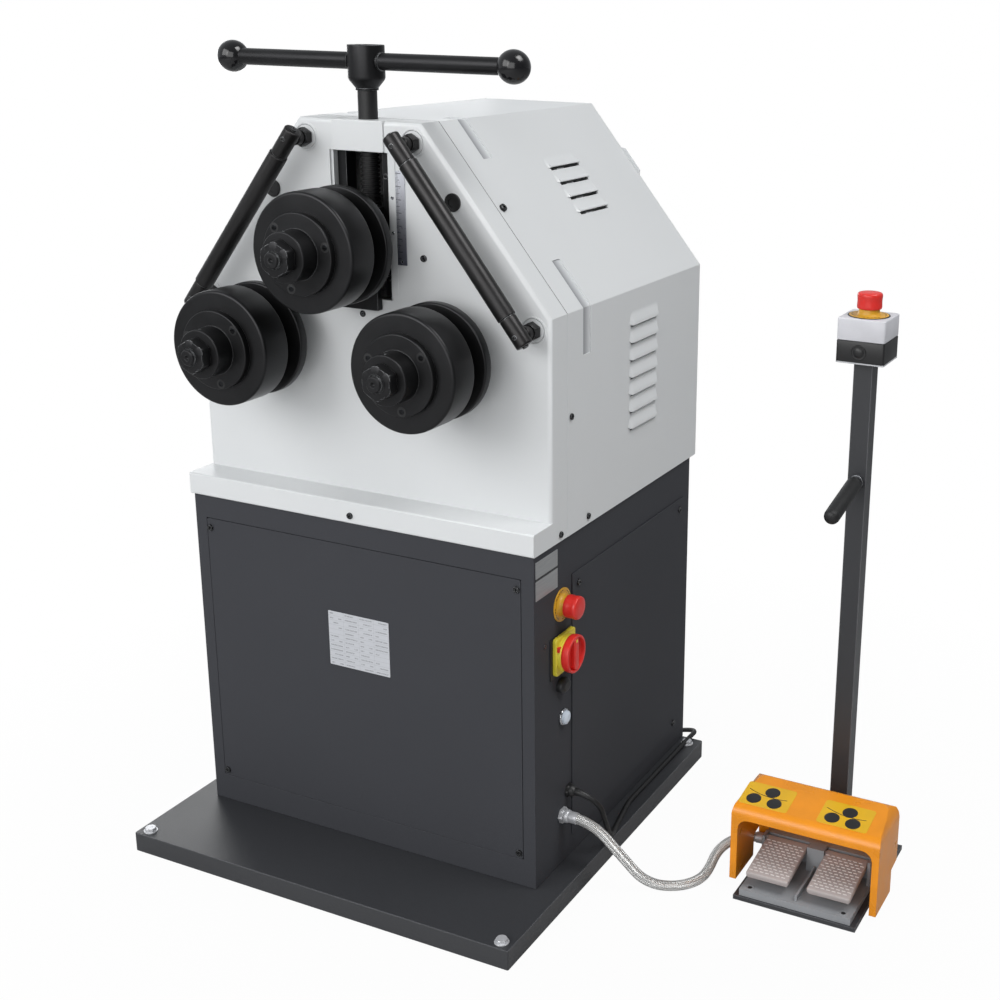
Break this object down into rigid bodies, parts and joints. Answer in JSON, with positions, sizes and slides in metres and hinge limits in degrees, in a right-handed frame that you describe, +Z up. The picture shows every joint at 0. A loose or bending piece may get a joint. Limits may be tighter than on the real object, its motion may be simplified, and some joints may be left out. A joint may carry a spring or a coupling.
{
  "type": "three-roll section bender",
  "caption": "Floor-standing three-roll bender: stacked rolls on a white head, hand screw with ball handle, dark cabinet and tray, guarded foot switch on a hose and post-mounted stop button.",
  "frame": {"origin": "on the floor, under the middle of the machine and its foot station together, cords left out", "axes": "+Z up, +Y from the rolls to the back of the head, +X to the right as seen from the front, where the foot station stands"},
  "size_m": [1.2174, 0.9868, 1.3617],
  "materials": {
    "tray_paint": "fine textured dark grey",
    "cabinet_paint": "fine textured dark grey",
    "head_paint": "smooth light grey-white",
    "black_steel": "blackened, satin",
    "machined_steel": "machined",
    "casting": "grey painted casting",
    "treadle_alloy": "painted, patterned top",
    "bright_plating": "nickel plated",
    "steel_braid": "woven steel braid",
    "black_plastic": "matt black",
    "white_plastic": "white, slight gloss",
    "yellow_plastic": "yellow",
    "red_plastic": "red, glossy",
    "orange_plastic": "orange, glossy",
    "lamp_lens": "clear, faceted",
    "cord_rubber": "matt black"
  },
  "bodies": {
    "machine": {"base_tray": "tray_paint", "cabinet_shell": "cabinet_paint", "front_access_panel": "cabinet_paint", "electrics_panel": "cabinet_paint", "front_housing": "head_paint", "head_frame": "head_paint", "rear_cover": "head_paint", "head_back_panel": "head_paint", "nut_block": "head_paint", "guide_strip_left": "black_steel", "guide_strip_right": "black_steel", "gearbox": "casting", "motor": "casting", "guide_bar_left": "black_steel", "guide_bar_right": "black_steel", "stop_collar": "yellow_plastic", "switch_plate": "yellow_plastic", "pilot_lamp": "lamp_lens", "cable_gland": "black_plastic", "hose_fitting": "bright_plating", "station_stand": "tray_paint", "station_grip": "cord_rubber", "stop_box_base": "black_plastic", "stop_box_lid": "white_plastic", "pedal_base": "casting", "pedal_guard": "orange_plastic", "foot_switch_hose": "steel_braid", "power_cord_run": "cord_rubber", "power_cord_coil": "cord_rubber", "power_plug": "black_plastic"},
    "carriage": {"carriage": "black_steel"},
    "screw": {"lead_screw": "black_steel", "handle_hub": "black_steel", "handle_bar": "black_steel", "handle_knob_left": "black_steel", "handle_knob_right": "black_steel"},
    "top_roll": {"top_shaft": "black_steel", "top_front_roll": "black_steel", "top_rear_disc": "black_steel", "top_flange": "black_steel", "top_nut": "black_steel"},
    "left_roll": {"left_shaft": "black_steel", "left_front_roll": "black_steel", "left_rear_disc": "black_steel", "left_flange": "black_steel", "left_nut": "black_steel", "left_gear": "machined_steel"},
    "right_roll": {"right_shaft": "black_steel", "right_front_roll": "black_steel", "right_rear_disc": "black_steel", "right_flange": "black_steel", "right_nut": "black_steel", "right_gear": "machined_steel"},
    "pinion": {"drive_pinion": "machined_steel"},
    "switch_knob": {"switch_knob": "red_plastic"},
    "stop_button": {"stop_button": "red_plastic"},
    "remote_stop_button": {"remote_stop_button": "red_plastic"},
    "treadle_left": {"treadle_left": "treadle_alloy"},
    "treadle_right": {"treadle_right": "treadle_alloy"}
  },
  "joints": [
    {"name": "carriage_slide", "type": "slide", "parent": "machine", "child": "carriage", "axis": [0, 0, 1], "range_m": [-0.042, 0.018]},
    {"name": "screw_turn", "type": "hinge", "parent": "carriage", "child": "screw", "pos_m": [-0.23475, -0.1407, 1.2], "axis": [0, 0, 1], "range_deg": [-2520, 1080]},
    {"name": "top_roll_spin", "type": "hinge", "parent": "carriage", "child": "top_roll", "pos_m": [-0.23475, -0.2887, 1.0671], "axis": [0, 1, 0], "continuous": true},
    {"name": "right_roll_spin", "type": "hinge", "parent": "machine", "child": "right_roll", "pos_m": [-0.06555, -0.2887, 0.9047], "axis": [0, 1, 0], "continuous": true},
    {"name": "left_roll_spin", "type": "hinge", "parent": "machine", "child": "left_roll", "pos_m": [-0.40395, -0.2887, 0.9047], "axis": [0, 1, 0], "continuous": true},
    {"name": "pinion_spin", "type": "hinge", "parent": "machine", "child": "pinion", "pos_m": [-0.23475, 0.0313, 0.86284], "axis": [0, 1, 0], "continuous": true},
    {"name": "switch_knob_turn", "type": "hinge", "parent": "machine", "child": "switch_knob", "pos_m": [0.11025, -0.1322, 0.425], "axis": [-1, 0, 0], "range_deg": [0, 90]},
    {"name": "stop_button_press", "type": "slide", "parent": "machine", "child": "stop_button", "axis": [-1, 0, 0], "range_m": [0, 0.005]},
    {"name": "remote_stop_button_press", "type": "slide", "parent": "machine", "child": "remote_stop_button", "axis": [0, 0, -1], "range_m": [0, 0.005]},
    {"name": "treadle_left_press", "type": "hinge", "parent": "machine", "child": "treadle_left", "pos_m": [0.42725, 0.0673, 0.0558], "axis": [1, 0, 0], "range_deg": [0, 7], "stiffness_Nm_per_rad": 4, "springref_deg": -20.05},
    {"name": "treadle_right_press", "type": "hinge", "parent": "machine", "child": "treadle_right", "pos_m": [0.53425, 0.0673, 0.0558], "axis": [1, 0, 0], "range_deg": [0, 7], "stiffness_Nm_per_rad": 4, "springref_deg": -20.05}
  ],
  "couplings": [
    {"joint": "carriage_slide", "follows": "screw_turn", "m_per_rad": 0.00095493},
    {"joint": "left_roll_spin", "follows": "right_roll_spin", "ratio": 1},
    {"joint": "pinion_spin", "follows": "right_roll_spin", "ratio": -2.2222}
  ]
}
